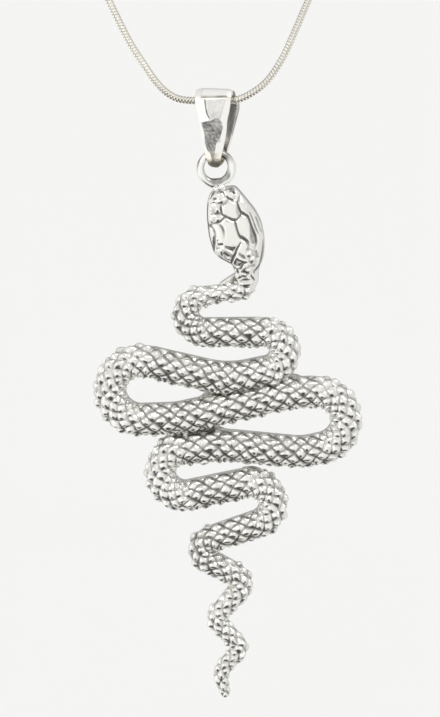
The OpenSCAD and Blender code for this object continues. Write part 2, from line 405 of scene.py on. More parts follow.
def surface_places(shape, w):
    """How far over the surface each point is from the middle of the front, how far past the
    dome's edge, and how far down the side walls their points are."""
    steps = np.linalg.norm(np.diff(shape[:, :dome_count], axis=1), axis=-1)
    dome = np.concatenate([np.zeros((len(shape), 1)), np.cumsum(steps, 1)], 1)
    dome -= dome[:, dome_count // 2, None]
    down = BODY_COLUMNS[1] * (wall_front_share + wall_back_share) * w[:, None]
    past = np.full(shape.shape[:2], far)
    past[:, :dome_count] = 0
    past[:, RIGHT_WALL], past[:, LEFT_WALL] = down, down[:, ::-1]
    across = np.zeros(shape.shape[:2])
    across[:, :dome_count] = dome
    across[:, RIGHT_WALL], across[:, LEFT_WALL] = dome[:, -1:] + down, dome[:, :1] - down[:, ::-1]
    return across, past, down


def scale_size(w):
    """How large the scales are where the body is w wide, with 1 for the full size."""
    share = w / body_w
    return np.clip(0.7 + 0.3 * share, 0.5, 1.0)


def scales(s, angles, w, across, bend):
    """How high the scales stand at each point, and how dark it is there."""
    # the lattice of scales is two families of slanting grooves that cross
    size = scale_size(w)
    cell_l, cell_w = scale_length * size, scale_width * size
    # with more of them to the length in the bends, where the outer side is the longer one
    turning = averaged(np.abs(bend), bend_reach)
    rate = (1 + 0.55 * np.minimum(turning * w / 2, 0.8)) / cell_l
    run = np.concatenate([[0], np.cumsum(np.diff(s) * (rate[1:] + rate[:-1]) / 2)])
    # the rows wander and sway a little, as they do on a hand-cut model
    drift = 0.10 * np.sin(run * 0.83 + 0.7) + 0.07 * np.sin(run * 1.9 + 2.0)
    run, row, drift = run[:, None], across / cell_w[:, None], drift[:, None]
    sways = [scale_sway * np.sin(k * run + m * row + begin) for k, m, begin in SCALE_SWAYS]
    a = run + row + drift + (sways[0] + sways[1])
    b = run - row - drift + sways[2]
    slant = 1 / np.sqrt(1 / cell_l**2 + 1 / cell_w**2)[:, None]
    ia, ib = np.floor(a), np.floor(b)
    fa, fb = a - ia, b - ib
    gap_a, gap_b = np.minimum(fa, 1 - fa) * slant, np.minimum(fb, 1 - fb) * slant

    # each scale is a rounded pillow with its own tilt, height and dent
    pillow = (1 - np.abs(2 * fa - 1) ** scale_roundness) * (1 - np.abs(2 * fb - 1) ** scale_roundness)
    u, v = fa + fb - 1, fa - fb
    tilt_u = (scatter(ia, ib, 1) - 0.5) * scale_tilt + 0.03
    tilt_v = (scatter(ia, ib, 2) - 0.5) * scale_tilt
    lift = 0.85 + 0.3 * scatter(ia, ib, 3)
    height = (scale_height * lift + tilt_u * u + tilt_v * v) * pillow
    dent = 0.04 + 0.08 * scatter(ia, ib, 4)
    du, dv = u - (scatter(ia, ib, 5) - 0.5) * 0.5, v - (scatter(ia, ib, 6) - 0.5) * 0.5
    height = (height - dent * np.exp(-(du**2 + dv**2) / 0.07)) * size[:, None]

    # painted shade: grooves that slant down to the right, across the light from the upper right, are painted
    # wider and darker, and the lower half of each scale is painted darker; a little patina that differs from
    # scale to scale is added there too
    wide = groove_width * (0.8 + 0.5 * scatter(ia, ib, 7))
    ahead = np.stack([np.cos(angles), np.sin(angles)], -1) * cell_l[:, None]
    aside = np.stack([-np.sin(angles), np.cos(angles)], -1) * cell_w[:, None]
    groove_and_shade = 0.0
    for gap, way in ((gap_a, ahead - aside), (gap_b, ahead + aside)):
        slanting = np.abs(way @ [1, -1]) / np.linalg.norm(way, axis=1) / math.sqrt(2)
        across_light = smoothstep(0.15, 0.85, slanting)[:, None]
        lines = 1 - smoothstep(0.0, wide * (0.85 + 0.25 * across_light), gap)
        groove_and_shade = np.maximum(groove_and_shade, (groove_dark + 0.12 * across_light) * lines)
    below = -(u * ahead[:, 1, None] + v * aside[:, 1, None]) / scale_length
    patina_and_lower_shade = 0.10 + 0.30 * smoothstep(-0.3, 0.8, below) + 0.16 * (scatter(ia, ib, 8) - 0.5)
    groove_and_shade = np.maximum(groove_and_shade, patina_and_lower_shade)
    # the outsides of the wide bends are worn bright, and so are the slim runs next to the
    # neck and towards the tail
    worn_bend = smoothstep(0.27, 0.42, turning * w / 2) * smoothstep(3.2, 3.7, w)
    polish = np.maximum(0.32 * worn_bend, 0.34 * smoothstep(3.3, 2.7, w))
    return height, groove_and_shade * (1 - polish)[:, None]


def with_smooth_walls(height, groove_and_shade, shape, angles, w, across, past, bend):
    """The same height and darkness, with the side walls smooth and the tight bends calmer."""
    # the scales run a little over the edge and end on the smooth side walls, further down
    # round the outside of a bend and along the lower edges
    room = 1 - bend[:, None] * np.clip(shape[..., 0], -w[:, None] / 2, w[:, None] / 2)
    near_edge = smoothstep(0.5, 0.95, np.abs(across) / (0.6 * w[:, None]))
    upwards = np.sign(across) * np.cos(angles)[:, None] * near_edge
    outer = np.maximum(smoothstep(1.1, 1.4, room), 0.75 * smoothstep(0.3, 0.8, -upwards))
    edge = past - 0.2 * outer
    scaled = 1 - smoothstep(0.12, 0.42, edge)
    border = bell(edge - 0.34, 0.13)
    groove_and_shade = np.maximum(groove_and_shade * scaled, 0.5 * border)
    # on the inner side of a tight bend the rows run together, and their relief fades
    spread = smoothstep(0.1, 0.75, room)
    height = height * (0.25 + 0.75 * spread) * (1 + 0.8 * outer)
    smooth = (wall_sink + 0.1 * outer) * (1 - scaled)
    return (height - 0.11 * scale_size(w)[:, None]) * scaled - smooth - 0.02 * border, groove_and_shade


def body_piece():
    s = body_stations()
    points, angles = along_path(s)
    # the sections turn a little ahead of a short bend, so that they don't crowd on its inner side
    angles = averaged(np.unwrap(angles), bend_reach)
    w = body_width(s)
    round_off = np.sqrt(np.clip(1 - np.clip((s - SNAKE_LENGTH + tail_tip) / tail_tip, 0, 1) ** 2, 0, 1))
    w = w * np.maximum(round_off, 0.08)
    shape = sections(w / 2, w / 2, w * front_share, w * wall_front_share, w * wall_back_share,
                     w * back_share, w * bevel_share, BODY_COLUMNS)
    across, past, down = surface_places(shape, w)
    bend = np.gradient(angles, s)
    height, groove_and_shade = scales(s, angles, w, across, bend)
    height, groove_and_shade = with_smooth_walls(height, groove_and_shade, shape, angles, w, across, past, bend)
    round_end = smoothstep(0.06, 0.6, round_off)[:, None]
    # the body comes out of the neck, where it starts a little below the surface
    emerge = smoothstep(12.7, 13.4, s)[:, None]
    offset = height * round_end * emerge - 0.25 * (1 - emerge)
    # where two runs draw close, metal fills the narrow corner between them
    for side, wall in ((1, RIGHT_WALL), (-1, LEFT_WALL)):
        fill = corner_fill(s, points, angles, w, side)[:, None]
        depth = down[:, ::side] / np.maximum(down[:, -1:], 1e-9)
        offset[:, wall] += fill * smoothstep(0.0, 0.5, depth)
        # and the filled corner is painted darker, a painted shade between the two runs
        groove_and_shade[:, wall] = np.maximum(groove_and_shade[:, wall], 0.5 * smoothstep(0.05, 0.3, fill))
    rings = place_sections(shape + section_normals(shape) * offset[..., None], points, angles)

    flat = rings.reshape(-1, 3)[:, [0, 2]] - ring_centre[[0, 2]]
    gap = gap_to_others(flat, np.repeat(s, rings.shape[1]), s, points, w, every=4)
    # painted shade where two runs touch
    touching_shade = 0.55 * (1 - smoothstep(0.02, 0.18, gap)).reshape(rings.shape[:2])
    verts, faces = capped_skin(rings)
    tarnish_and_shade = np.concatenate([np.maximum(groove_and_shade, touching_shade).ravel(), [0.3, 0.2]])
    return new_object("snake_body", verts, faces, {"tarnish_and_shade": tarnish_and_shade})


def gap_to_others(spots, own, s, points, w, every):
    """How far each spot is from the body's other runs, up to far; own is its place along the body."""
    gap = np.full(len(spots), far)
    for k in range(0, len(s), every):
        d = np.linalg.norm(spots - points[k], axis=1) - w[k] / 2
        d[np.abs(own - s[k]) < own_run] = far
        gap = np.minimum(gap, d)
    return gap


def corner_fill(s, points, angles, w, side):
    """How far metal fills the gap to the run that lies above, on one side of the body."""
    out = side * np.stack([-np.sin(angles), np.cos(angles)], -1)
    gap = gap_to_others(points + out * w[:, None] / 2, s, s, points, w, every=3)
    narrow = 1 - smoothstep(0.75, 1.15, gap)
    return averaged(np.clip(gap + 0.1, 0, 1) * narrow * smoothstep(0.3, 0.7, out[:, 1]), 4)


# The head and its plates

# Each seam: its width in mm, then where it runs in the photo, in pixels, and how deep and
# dark it is there, with 1 for a deep one
HEAD_SEAMS = [
    # from the snout down the right side of the frontal plate and the right parietal
    (0.31, [(240.3, 195.0, 0.35), (240.4, 197.0, 0.6), (238.9, 199.6, 0.6), (237.6, 202.0, 0.75),
            (238.4, 204.6, 0.85), (239.3, 207.8, 1.05), (240.5, 210.3, 1.1), (241.9, 212.8, 1.1),
            (245.3, 214.7, 0.85), (248.3, 216.3, 0.9), (249.8, 219.5, 0.9), (251.3, 224.0, 1.0),
            (253.3, 229.5, 1.0), (255.3, 234.0, 1.0), (256.6, 238.5, 0.9), (256.6, 243.0, 0.7),
            (255.3, 248.0, 0.35)]),
    # frontal plate: left and lower border, then its top
    (0.28, [(221.0, 204.3, 0.5), (220.5, 207.5, 0.9), (221.0, 211.5, 0.95), (221.8, 214.5, 0.9),
            (224.5, 216.7, 0.95), (228.0, 218.0, 0.9), (231.5, 220.2, 0.9), (234.8, 220.9, 0.95),
            (237.3, 219.2, 0.75), (239.5, 216.5, 0.75), (241.5, 213.8, 0.9)]),
    (0.34, [(221.0, 204.5, 0.55), (223.8, 204.3, 0.6), (225.6, 202.4, 0.55), (227.8, 200.2, 0.5)]),
    (0.32, [(225.8, 195.9, 0.4), (227.4, 197.3, 0.95), (228.8, 198.6, 1.0), (231.3, 199.8, 0.9),
            (233.8, 200.5, 0.7), (236.0, 202.3, 0.4)]),
    # between the parietals
    (0.31, [(235.0, 221.0, 0.9), (237.2, 229.5, 0.85), (238.5, 233.5, 0.95), (240.0, 236.5, 1.0),
            (242.8, 238.9, 1.0), (245.8, 240.6, 0.9), (248.2, 243.2, 0.7), (249.3, 246.0, 0.4)]),
    # soft left border of the left parietal, and the temple
    (0.36, [(219.5, 224.8, 0.5), (221.8, 227.0, 0.72), (223.4, 230.5, 0.7), (224.0, 234.5, 0.5),
            (224.4, 239.0, 0.2)]),
    (0.34, [(209.6, 225.3, 0.85), (211.5, 227.5, 0.5), (213.8, 230.5, 0.6), (214.9, 234.5, 0.55),
            (214.2, 240.0, 0.65), (213.4, 245.0, 0.85), (213.2, 249.0, 0.6)]),
    # lips on the left
    (0.30, [(211.0, 215.0, 0.4), (214.5, 213.9, 0.65), (217.5, 213.6, 0.8), (220.5, 213.7, 0.6)]),
    (0.26, [(210.0, 203.5, 0.35), (216.0, 203.4, 0.45), (219.8, 204.0, 0.55)]),
    (0.28, [(210.8, 224.2, 0.5), (214.5, 223.5, 0.55), (218.5, 223.0, 0.75), (220.5, 221.5, 0.8),
            (224.5, 217.0, 0.8)]),
    (0.45, [(213.4, 204.8, 0.35), (213.2, 212.0, 0.5)]),
    (0.42, [(213.4, 216.5, 0.4), (213.4, 221.5, 0.45)]),
    # nape
    (0.32, [(240.9, 242.0, 0.3), (239.4, 245.3, 0.8), (237.2, 248.2, 1.0), (235.9, 251.5, 1.0),
            (235.0, 254.3, 1.0), (233.2, 256.8, 1.0), (232.0, 259.5, 1.0), (230.8, 263.0, 0.7)]),
    (0.26, [(218.8, 255.5, 0.4), (221.0, 258.3, 0.8), (224.3, 260.5, 0.8), (228.0, 262.0, 0.7),
            (231.0, 264.0, 0.5)]),
    (0.26, [(232.3, 266.5, 0.4), (235.3, 268.0, 0.7), (236.9, 270.2, 0.8), (237.4, 272.8, 0.7)]),
    (0.24, [(245.8, 263.0, 0.4), (243.0, 264.4, 0.8), (241.2, 266.6, 0.85), (239.8, 268.8, 0.7)]),
    (0.20, [(240.0, 280.6, 0.4), (245.0, 280.4, 0.5), (249.5, 280.2, 0.3)]),
    (0.22, [(251.0, 275.8, 0.5), (252.6, 278.0, 0.6), (254.4, 280.3, 0.4)]),
    # jaw lines along the right edge
    (0.24, [(250.2, 212.0, 0.5), (252.7, 217.5, 0.62), (254.6, 223.0, 0.7), (256.6, 228.5, 0.7),
            (258.8, 233.0, 0.5)]),
    (0.26, [(256.4, 216.8, 0.6), (258.3, 220.5, 0.65), (259.0, 224.5, 0.6), (262.0, 231.0, 0.5)]),
    (0.28, [(264.2, 239.5, 0.6), (264.1, 245.0, 0.75), (263.4, 250.0, 0.8), (262.5, 254.0, 0.7),
            (261.8, 257.5, 0.65), (261.2, 261.0, 0.65), (259.8, 264.5, 0.75), (257.3, 267.8, 0.75),
            (255.5, 270.0, 0.6)]),
    (0.24, [(255.4, 248.5, 0.4), (256.4, 252.0, 0.5), (257.2, 257.0, 0.5)]),
    # snout
    (0.34, [(219.5, 191.0, 0.65), (222.3, 191.6, 0.8), (223.8, 193.4, 0.75), (224.8, 196.5, 0.45)]),
    (0.40, [(212.6, 188.2, 0.8), (213.0, 191.0, 0.8), (212.8, 193.0, 0.85), (210.8, 195.2, 0.8),
            (209.2, 197.8, 0.7)]),
    (0.20, [(234.3, 195.5, 0.4), (234.8, 198.4, 0.6)]),
    (0.20, [(215.3, 192.6, 0.5), (218.5, 192.2, 0.5)]),
]
# Facets and small scales between the seams: corners in the photo, how far the middle is raised in mm, the
# slopes to the right and downwards, and how dark they are painted, mostly painted shade on facets turned from
# the light and in hollows
HEAD_PLATES = [
    ([(249.6, 222.5), (253.4, 231.0), (255.8, 240.0), (254.6, 243.6), (251.0, 243.6), (249.8, 238.0),
      (249.6, 230.0)],
     -0.02, 0.25, 0.0, 0.58),
    ([(236.4, 204.5), (238.6, 207.5), (240.0, 212.0), (239.4, 215.0), (236.6, 216.5), (235.6, 211.0)],
     -0.02, 0.2, 0.0, 0.5),
    ([(224.0, 219.4), (227.5, 219.8), (230.5, 221.6), (228.6, 222.8), (225.0, 221.6)],
     0.0, 0.0, -0.2, 0.45),
    ([(239.0, 195.0), (241.2, 196.0), (241.0, 199.6), (238.8, 200.4), (238.2, 198.0)], 0.0, 0.0, 0.0, 0.6),
    ([(217.4, 242.9), (223.6, 242.7), (223.6, 245.6), (218.0, 246.1)], -0.06, 0.0, -0.2, 0.78),
    ([(224.3, 245.2), (229.5, 245.4), (235.2, 247.3), (235.0, 249.5), (233.0, 252.2), (228.5, 250.2),
      (224.4, 247.8)],
     -0.05, 0.0, -0.15, 0.66),
    ([(217.6, 246.2), (221.5, 246.0), (219.5, 249.5), (217.4, 248.8)], 0.0, 0.0, 0.0, 0.5),
    ([(223.6, 250.6), (225.8, 252.3), (230.4, 254.8), (230.0, 257.2), (226.8, 256.8), (224.0, 253.6)],
     -0.06, 0.0, -0.2, 0.74),
    ([(221.0, 253.5), (224.0, 254.0), (227.0, 257.4), (231.0, 257.8), (230.3, 260.8), (226.0, 259.8),
      (222.2, 257.3)],
     0.02, 0.0, 0.2, 0.38),
    ([(246.8, 245.6), (250.0, 246.5), (249.2, 250.8), (246.0, 250.0)], 0.0, 0.2, 0.1, 0.5),
    ([(245.0, 249.0), (251.0, 247.5), (255.5, 250.0), (257.0, 262.0), (251.0, 263.2), (247.2, 259.6)],
     0.0, 0.05, 0.05, 0.42),
    ([(238.4, 250.2), (240.0, 252.6), (244.6, 254.6), (247.2, 258.8), (243.0, 259.2), (240.0, 256.8),
      (238.0, 255.6)],
     -0.04, 0.1, -0.1, 0.50),
    ([(235.9, 259.2), (239.0, 260.6), (241.4, 261.2), (240.4, 263.0), (239.6, 264.6), (237.0, 264.6)],
     0.02, 0.0, 0.15, 0.42),
    ([(234.6, 264.8), (240.4, 264.8), (239.4, 268.8), (235.8, 268.2)], 0.05, 0.0, 0.4, 0.12),
    ([(247.6, 264.2), (251.5, 263.6), (255.8, 262.8), (255.6, 266.4), (250.4, 266.8), (247.6, 267.6)],
     0.0, 0.0, 0.2, 0.55),
    ([(240.6, 270.8), (244.6, 269.4), (246.0, 271.4), (247.2, 273.9), (243.4, 273.2)],
     -0.04, 0.0, -0.1, 0.64),
    ([(253.0, 268.5), (255.4, 269.5), (255.2, 274.0), (253.0, 273.0)], -0.04, 0.0, 0.0, 0.62),
    ([(236.2, 279.0), (238.4, 276.2), (239.8, 275.2), (241.4, 276.0), (245.8, 276.3), (241.8, 277.6),
      (240.0, 278.8)],
     -0.06, 0.0, -0.2, 0.74),
]
# Raised bars: width and height in mm, then where they run in the photo
HEAD_BARS = [
    (0.28, 0.13, [(223.0, 248.2), (227.5, 250.8), (232.0, 254.0)]),
    (0.22, 0.10, [(216.4, 238.5), (216.3, 247.5)]),
    (0.26, 0.08, [(236.2, 256.6), (234.2, 260.5), (233.2, 264.0)]),
    (0.24, 0.07, [(237.0, 257.2), (240.5, 259.6), (246.0, 260.9)]),
    (0.24, 0.12, [(246.5, 266.0), (243.8, 267.2), (241.6, 270.0)]),
    (0.26, 0.10, [(232.6, 269.0), (234.6, 271.0)]),
    (0.22, 0.10, [(235.6, 274.0), (235.2, 279.0)]),
    (0.20, 0.08, [(241.0, 274.2), (245.0, 274.8)]),
    (0.20, 0.08, [(252.8, 275.8), (255.4, 280.5)]),
    (0.24, 0.10, [(258.0, 251.0), (258.8, 257.0), (258.8, 262.0), (257.2, 266.0)]),
    (0.22, 0.08, [(257.8, 232.0), (259.3, 236.5), (259.8, 241.0)]),
    (0.40, 0.12, [(241.0, 284.0), (247.0, 283.6), (253.5, 282.0)]),
]
# Dents and lumps: place in the photo, half length and half width in mm, turn in degrees, height in mm (below
# zero a dent) and how dark it is painted; the dark in the dents, the nostril among them, is painted shade,
# and a lump clears the painted dark round it
HEAD_SPOTS = [
    ((232.0, 189.8), (0.64, 0.44), 20, -0.02, 1.05),
    ((234.1, 192.7), (0.30, 0.20), 15, -0.14, 1.2),
    ((214.4, 198.4), (0.42, 0.28), 0, -0.10, 0.80),
    ((226.0, 187.9), (0.40, 0.24), 0, -0.03, 0.55),
    ((235.0, 217.7), (0.24, 0.18), -30, 0.08, 0.0),
    ((217.6, 195.3), (0.24, 0.28), 0, 0.14, 0.0),
    ((211.8, 201.2), (0.38, 0.16), 0, 0.12, 0.0),
    ((221.0, 200.4), (0.64, 0.26), -20, 0.15, 0.0),
    ((235.4, 200.7), (0.14, 0.13), 0, 0.12, 0.0),
    ((210.7, 208.5), (0.18, 0.48), 0, 0.10, 0.0),
    ((217.2, 208.5), (0.34, 0.42), 0, 0.13, 0.0),
    ((210.6, 219.5), (0.20, 0.46), 0, 0.10, 0.0),
    ((217.5, 218.5), (0.42, 0.34), -10, 0.13, 0.0),
    ((220.2, 251.2), (0.16, 0.26), 20, 0.12, 0.0),
    ((249.4, 253.6), (0.36, 0.40), -10, 0.20, 0.0),
    ((252.9, 258.8), (0.34, 0.42), 0, 0.21, 0.0),
    ((249.2, 270.8), (0.26, 0.30), 0, 0.13, 0.0),
    ((256.4, 249.9), (0.13, 0.13), 0, 0.08, 0.0),
    ((252.6, 245.4), (0.11, 0.16), 0, 0.08, 0.0),
]
head_end = 13.5
head_step = 0.085
nose_round = 0.5
seam_depth = 0.27
# a groove's floor lies deeper and is seen a little higher up, in pixels
floor_seen_higher = 0.4
HEAD_COLUMNS = section_columns(97, 7, 9)


def head_sections(s):
    """The head's sections and, beyond the nape, those of the neck that goes into the body."""
    neck_w = body_w * FOLDS[1, 4] / head_w
    neck_depth = FOLDS[1, 4]
    rows = np.concatenate([HEAD * [head_length, 1, 1, 1, 1], [
        [11.8, neck_w + 0.06, neck_w + 0.05, neck_depth + 0.03, neck_depth],
        [13.0, neck_w + 0.03, neck_w, neck_depth, neck_depth],
        [13.3, neck_w * 0.94, neck_w * 0.94, neck_depth * 0.93, neck_depth * 0.94],
        [13.6, neck_w * 0.7, neck_w * 0.7, neck_depth * 0.7, neck_depth * 0.7]]])
    left, right, front, back = [smooth_table(s, rows[:, 0], rows[:, k]) for k in (1, 2, 3, 4)]
    round_nose = np.sqrt(np.clip(1 - (1 - np.clip(s / nose_round, 0, 1)) ** 2, 0.01, 1))
    left, right = left * round_nose * head_w / 2, right * round_nose * head_w / 2
    front, back = front * round_nose * body_w, back * round_nose * body_w
    bevel = np.minimum(body_w * bevel_share * np.ones(len(s)), np.minimum(left, right) * 0.5)
    shape = sections(left, right, front * front_share, front * wall_front_share,
                     back * wall_back_share, back * back_share, bevel, HEAD_COLUMNS)
    # the head is flatter on top than the body's round dome
    flat = 0.80 + 0.20 * smoothstep(9.0, 12.0, s)
    dome = np.clip(np.sin(HEAD_COLUMNS[0]), 1e-6, 1)[None, :] ** flat[:, None]
    rise = front * (front_share - wall_front_share)
    shape[:, :len(HEAD_COLUMNS[0]), 1] = -(front * wall_front_share)[:, None] - rise[:, None] * dome
    return shape, round_nose


def head_relief(seen):
    """How far each point stands out and how dark it is painted, as patina and painted shade, from where it is
    seen in the photo.
    """
    relief, dark = np.zeros(len(seen)), np.zeros(len(seen))
    for corners, raised, slope_u, slope_v, darkness in HEAD_PLATES:
        outline = np.array(corners + corners[:1], float)
        d = distance_to_line(seen, outline)[0] / px_per_mm
        inside = within(seen, outline)
        du, dv = ((seen - outline[:-1].mean(0)) / px_per_mm).T
        plate = raised + slope_u * du + slope_v * dv
        relief = np.where(inside, relief + plate * smoothstep(0, 0.09, d), relief)
        dark = np.where(inside, np.maximum(dark, darkness * smoothstep(-0.04, 0.09, d)), dark)
    for width, height, line in HEAD_BARS:
        bar = bell(distance_to_line(seen, rounded(line))[0] / px_per_mm, width * 0.5)
        relief = relief + height * bar
        dark = dark * (1 - bar)
    for width, line in HEAD_SEAMS:
        d, depth = distance_to_line(seen, rounded(line))
        d = d / px_per_mm
        near, wide = bell(d, width * 0.5), bell(d, width * 1.6)
        floor_level = relief * (1 - near) - seam_depth * depth * (0.78 * near + 0.22 * wide)
        relief = np.minimum(relief, floor_level)
        dark = np.maximum(dark, depth * (1 - smoothstep(width * 0.2, width * 0.8, d)))
    for (u, v), (long, wide), turn, height, darkness in HEAD_SPOTS:
        du, dv = (seen[:, 0] - u) / px_per_mm, (seen[:, 1] - v) / px_per_mm
        c, k = math.cos(math.radians(turn)), math.sin(math.radians(turn))
        d = np.hypot((du * c + dv * k) / long, (dv * c - du * k) / wide)
        relief = relief + height * (1 - smoothstep(0.15, 1.1, d))
        dark = np.maximum(dark, darkness * (1 - smoothstep(0.3, 1.15, d)))
        if height > 0:
            dark = dark * smoothstep(0.4, 1.1, d)
    return relief, dark


def head_piece():
    s = np.concatenate([nose_round * (1 - np.cos(np.linspace(0, math.pi / 2, 10)[:-1])),
                        np.arange(nose_round, head_end, head_step)])
    s = np.maximum(s, 0.0)
    shape, round_nose = head_sections(s)
    points, angles = along_path(s)
    normals = section_normals(shape)
    base = place_sections(shape, points, angles)
    relief, dark = head_relief(to_photo(base.reshape(-1, 3)) - [0, floor_seen_higher])
    grid = base.shape[:2]
    relief, dark = relief.reshape(grid), dark.reshape(grid)
    # all of it fades out at the dome's edges
    n_front = len(HEAD_COLUMNS[0])
    angle = np.degrees(HEAD_COLUMNS[0])
    edge = np.minimum(angle, 180 - angle)
    fade = np.zeros(grid[1])
    fade[:n_front] = smoothstep(1, 9, edge)
    # the lips: a groove along the dome's right edge, and a wide one along its left, painted darker as painted
    # shade on the side away from the light
    lip = np.zeros(grid[1])
    lip[:n_front] = bell(edge - 4, 3.0)
    lip[:n_front // 2] = 1 - smoothstep(12, 20, angle[:n_front // 2])
    lip_dark = np.where(np.arange(grid[1]) < n_front // 2, 0.85, 0.4)
    on_sides = smoothstep(0.9, 2.0, s) * (1 - smoothstep(10.8, 11.6, s))
    relief = relief * fade - 0.07 * lip * on_sides[:, None]
    dark = np.maximum(dark * fade, lip_dark * lip * on_sides[:, None])
    rings = place_sections(shape + normals * (relief * round_nose[:, None])[..., None], points, angles)
    verts, faces = capped_skin(rings)
    dark = np.concatenate([dark.ravel(), [0.2, 0.5]])
    return new_object("snake_head", verts, faces, {"tarnish_and_shade": dark})


# The ring, its solder and the web at the neck
def ring_piece():
    n, m = 128, 32
    t, c = turns(n)[:, None], turns(m)[None, :]

    def about(angle, spread):
        """1 at a place round the ring, falling off to either side, in radians."""
        return bell(np.angle(np.exp(1j * (t - angle))), spread)

    def about_degrees(angle, spread):
        return about(math.radians(angle), math.radians(spread))

    # drawn out into solder where it meets the snout
    low = about(-math.pi / 2 - 0.04, 0.33)
    wire = ring_wire_r * (0.97 + 0.012 * np.sin(3 * t + 0.6) + 0.16 * low)
    r = ring_mid_r + wire * np.cos(c) + 0.10 * low * (np.cos(c) > 0) * np.cos(c)
    # hammered a little thicker towards the hole, below and on the right
    thick = 0.30 * about_degrees(-75, 62) + 0.18 * about_degrees(-10, 42) + 0.08 * about_degrees(180, 50)
    r = r - thick * np.clip(-np.cos(c), 0, 1) ** 1.5
    verts = np.stack([r * np.cos(t), wire * np.sin(c), r * np.sin(t)], -1).reshape(-1, 3) + ring_centre
    faces = skin_faces(n, m, closed_along=True)
    # painted shade: darker on its inner side, most of all below, and along the outside on the left
    below = about_degrees(-90, 50)
    wide = np.maximum(below, about_degrees(-38, 24))
    inner = smoothstep(0.15 - 0.5 * wide, 0.75 - 0.45 * wide, -np.cos(c)) * (
        0.30 + 0.30 * below + 0.34 * about_degrees(-25, 24) + 0.36 * about_degrees(52, 30))
    inner = np.maximum(inner, 0.62 * about_degrees(56, 30))
    left_outer_shade = 0.6 * smoothstep(0.05, 0.7, np.cos(c)) * about_degrees(155, 36)
    at_solder = 0.5 * low * (0.6 + 0.4 * np.sin(5 * c + 9 * t))
    tarnish_and_shade = np.clip(np.maximum(np.maximum(inner, left_outer_shade), at_solder), 0, 1)
    return new_object("snake_ring", verts, faces, {"tarnish_and_shade": tarnish_and_shade.ravel()})


def lump_piece(name, n, m, place, shape):
    """A rounded lump at a place from the ring's centre, from its shape: x, y, z and how dark it is."""
    x, y, z, dark = np.broadcast_arrays(*shape(np.linspace(0.0, math.pi, n)[1:-1, None], turns(m)[None, :]))
    verts, faces = capped_skin(np.stack([x, y, z], -1) + ring_centre + place)
    return new_object(name, verts, [f[::-1] for f in faces], {"tarnish_and_shade": np.append(dark.ravel(), [0, 0])})


def solder_shape(t, c):
    lump = 1 + 0.10 * np.sin(2 * c + 0.8) * np.sin(t) + 0.07 * np.sin(3 * t + 2 * c)
    z = 0.52 * lump * np.cos(t)
    dark = 0.35 * (1 - smoothstep(0.05, 0.4, np.abs(z + 0.2)))
    return 0.86 * lump * np.sin(t) * np.cos(c), 0.62 * lump * np.sin(t) * np.sin(c), z, dark


def drop_shape(t, c):
    x = 0.24 * np.sin(t) * np.cos(c)
    return x, 0.24 * np.sin(t) * np.sin(c), 0.30 * np.cos(t) - 0.25 * x, 0.0


def web_piece():
    """The low web of metal in the corner between the neck and the first run."""
    # its upper edge and its foot on the first run: x and z from the ring's centre
    top = np.array([[3.0, -13.25], [2.3, -13.7], [1.7, -14.08], [1.1, -14.5], [0.6, -14.85], [0.45, -15.0]])
    foot = np.array([[3.3, -15.2], [2.5, -15.5], [2.0, -15.6], [1.5, -15.7], [1.0, -15.7], [0.7, -15.5]])
    t, k = np.linspace(0, 1, 25), np.linspace(0, 1, len(top))
    top, foot = [np.stack([np.interp(t, k, line[:, i]) for i in (0, 1)], -1) for line in (top, foot)]
    # shares from the top edge to the foot, and how far back the surface lies there
    profile = [(0.0, 0.6), (0.0, 0.1), (0.03, -0.08), (0.12, -0.18),
               (0.3, -0.22), (0.6, -0.25), (1.0, -0.25), (1.0, 0.6)]
    rings = np.stack([np.insert(top + (foot - top) * share, 1, y + 0 * t, axis=1) for share, y in profile], 1)
    # painted shade: darkest in the corner with the neck, and brighter along its upper edge
    dark = np.repeat((1.15 - 0.75 * smoothstep(0.08, 0.5, t))[:, None], len(profile), 1)
    dark[:, 1:4] *= [0.3, 0.3, 0.7]
    verts, faces = capped_skin(rings + ring_centre)
    return new_object("snake_web", verts, faces, {"tarnish_and_shade": np.append(dark.ravel(), [1.0, 0.6])})


# The bail

# One row for each height of the bail's front leaf: z, where the middle facet begins and
# ends as shares of the half width there, and how far the facets beside it slope back
BAIL_FRONT = np.array([
    [9.30, -0.39, 0.80, 0.24],
    [8.20, -0.37, 0.70, 0.24],
    [7.20, -0.30, 0.60, 0.24],
    [6.60, -0.16, 0.54, 0.24],
    [6.15, -0.75, 0.68, 0.18],
    [5.60, -0.73, 0.76, 0.18],
    [4.60, -0.66, 0.64, 0.18],
    [4.10, -0.68, 0.58, 0.18],
    [3.50, -0.72, 0.30, 0.18],
    [2.50, -0.62, 0.20, 0.18],
    [2.20, -0.30, 0.16, 0.18],
    [1.20, -0.14, 0.12, 0.18],
])
bail_top_z = bail_fold_z + bail_outer_r
foot_centre_z = bail_foot_low + bail_outer_r
inner_foot_centre_z = bail_foot_seat + bail_inner_r
shoulder_z = 7.6
crease_z = 9.42
leaf_top_z = 9.29
# Over the fold to the crease: y and z outside, and the angle inside, in degrees
BAIL_FOLD = [
    (0.0, bail_top_z, 90), (-0.42, bail_top_z - 0.03, 105), (-0.50, bail_top_z - 0.05, 110),
    (-1.12, crease_z + 0.30, 134), (-1.25, crease_z + 0.12, 142), (-1.30, crease_z + 0.01, 148),
    (-1.33, crease_z - 0.09, 151), (-1.37, crease_z - 0.20, 156),
]
# How much narrower the front leaf is than the CAD's on its right side, at heights z, and the
# share of that on its left side
SLIM_Z = [4.3, 5.2, 5.9, 6.6, 7.3, 8.0, 8.8, 9.3]
SLIM_BY = [0, 0.07, 0.16, 0.25, 0.26, 0.19, 0.06, 0]
slim_left = 0.7


